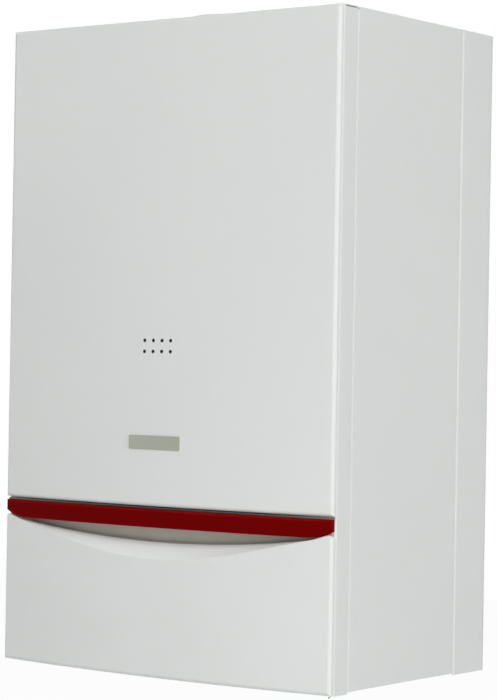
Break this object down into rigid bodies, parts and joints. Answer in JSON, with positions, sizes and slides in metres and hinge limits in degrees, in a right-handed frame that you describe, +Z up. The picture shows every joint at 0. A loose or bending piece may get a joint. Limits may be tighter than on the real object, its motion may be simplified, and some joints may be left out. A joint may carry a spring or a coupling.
{
  "type": "wall-mounted gas boiler",
  "caption": "Wall-hung combination gas boiler: white sheet casing, bowed front, red grip bar over a hinged control flap, closed combustion chamber with fan.",
  "frame": {"origin": "midway between the two hanging slots, on the wall face", "axes": "+X to the right seen from the front, +Y into the wall, +Z up"},
  "size_m": [0.456, 0.32, 0.744],
  "materials": {
    "aluminised": "aluminised sheet",
    "badge": "brushed, bare",
    "black": "matt black",
    "board_green": "lacquered board",
    "brass": "turned brass",
    "cast_grey": "die-cast",
    "ceramic_fibre": "pressed ceramic fibre",
    "copper": "drawn copper, slightly oxidised",
    "dark_moulding": "fine-grained dark grey moulding",
    "galvanised": "zinc-coated sheet",
    "glass": "clear",
    "grey_moulding": "fine-grained warm grey moulding",
    "knob_blue": "smooth blue",
    "knob_grey": "fine-grained grey",
    "magnet": "plain ferrite",
    "pump_black": "black enamel",
    "red_moulding": "glossy dark red",
    "stainless": "pressed stainless steel",
    "vessel_red": "red enamel",
    "white": "smooth satin white powder coat",
    "white_dial": "matt white",
    "white_moulding": "satin white moulding"
  },
  "bodies": {
    "casing": {"back_plate": "white", "bottom_tray": "galvanised", "burner": "stainless", "cable_gland": "black", "chamber_box": "galvanised", "chamber_lid": "galvanised", "combustion_box": "aluminised", "control_box": "dark_moulding", "control_box_lid": "dark_moulding", "display_pane": "glass", "electrodes": "ceramic_fibre", "expansion_vessel": "vessel_red", "fan_housing": "galvanised", "fan_motor": "cast_grey", "flow_group": "brass", "flow_pipe": "copper", "flue_hood": "aluminised", "flue_socket": "aluminised", "gas_connection": "brass", "gas_manifold": "galvanised", "gas_pipe": "galvanised", "gas_valve": "cast_grey", "gauge_body": "white_dial", "gauge_glass": "glass", "heat_exchanger": "copper", "insulation_boards": "ceramic_fibre", "left_frame_rail": "white", "left_side_panel": "white", "main_board": "board_green", "plate_exchanger": "stainless", "pressure_switch": "dark_moulding", "pump_body": "brass", "pump_motor": "pump_black", "return_group": "brass", "return_pipe": "copper", "right_frame_rail": "white", "right_side_panel": "white", "safety_valve": "brass", "sight_frame": "stainless", "sight_glass": "glass", "top_plate": "white", "valve_actuator": "black", "water_connections": "brass"},
    "front_cover": {"front_pan": "white", "upper_panel": "white", "badge_plate": "badge", "grip_bar": "red_moulding", "grip_carrier": "grey_moulding", "catch_magnets": "magnet"},
    "flap": {"control_flap": "white_moulding", "flap_pins": "stainless"},
    "mode_knob": {"mode_knob": "knob_grey"},
    "heating_knob": {"heating_knob": "knob_grey"},
    "water_knob": {"water_knob": "knob_grey"},
    "reset_button": {"reset_button": "knob_grey"},
    "info_button": {"info_button": "knob_grey"},
    "gauge_needle": {"gauge_needle": "black"},
    "fan_impeller": {"fan_impeller": "stainless"},
    "safety_knob": {"safety_knob": "red_moulding"},
    "filling_knob": {"filling_knob": "knob_blue"}
  },
  "joints": [
    {"name": "cover_lift_off", "type": "slide", "parent": "casing", "child": "front_cover", "axis": [0, -1, 0], "range_m": [0, 0.12]},
    {"name": "flap_hinge", "type": "hinge", "parent": "front_cover", "child": "flap", "pos_m": [0, -0.302, -0.686], "axis": [1, 0, 0], "range_deg": [0, 90]},
    {"name": "mode_knob_turn", "type": "hinge", "parent": "casing", "child": "mode_knob", "pos_m": [-0.072, -0.283, -0.602], "axis": [0, -1, 0], "range_deg": [-90, 90]},
    {"name": "heating_knob_turn", "type": "hinge", "parent": "casing", "child": "heating_knob", "pos_m": [0.072, -0.283, -0.602], "axis": [0, -1, 0], "range_deg": [-135, 135]},
    {"name": "water_knob_turn", "type": "hinge", "parent": "casing", "child": "water_knob", "pos_m": [0.144, -0.283, -0.602], "axis": [0, -1, 0], "range_deg": [-135, 135]},
    {"name": "reset_button_press", "type": "slide", "parent": "casing", "child": "reset_button", "axis": [0, 1, 0], "range_m": [0, 0.001], "stiffness_N_per_m": 300, "springref_m": -0.001},
    {"name": "info_button_press", "type": "slide", "parent": "casing", "child": "info_button", "axis": [0, 1, 0], "range_m": [0, 0.001], "stiffness_N_per_m": 300, "springref_m": -0.001},
    {"name": "gauge_needle_turn", "type": "hinge", "parent": "casing", "child": "gauge_needle", "pos_m": [-0.144, -0.283, -0.602], "axis": [0, 1, 0], "range_deg": [0, 270]},
    {"name": "fan_spin", "type": "hinge", "parent": "casing", "child": "fan_impeller", "pos_m": [-0.044, -0.188, -0.05], "axis": [0, 1, 0], "continuous": true},
    {"name": "safety_knob_turn", "type": "hinge", "parent": "casing", "child": "safety_knob", "pos_m": [-0.098, -0.17, -0.69], "axis": [0, 0, 1], "range_deg": [0, 90]},
    {"name": "filling_knob_turn", "type": "hinge", "parent": "casing", "child": "filling_knob", "pos_m": [0.098, -0.17, -0.69], "axis": [0, 0, 1], "range_deg": [0, 360]}
  ]
}
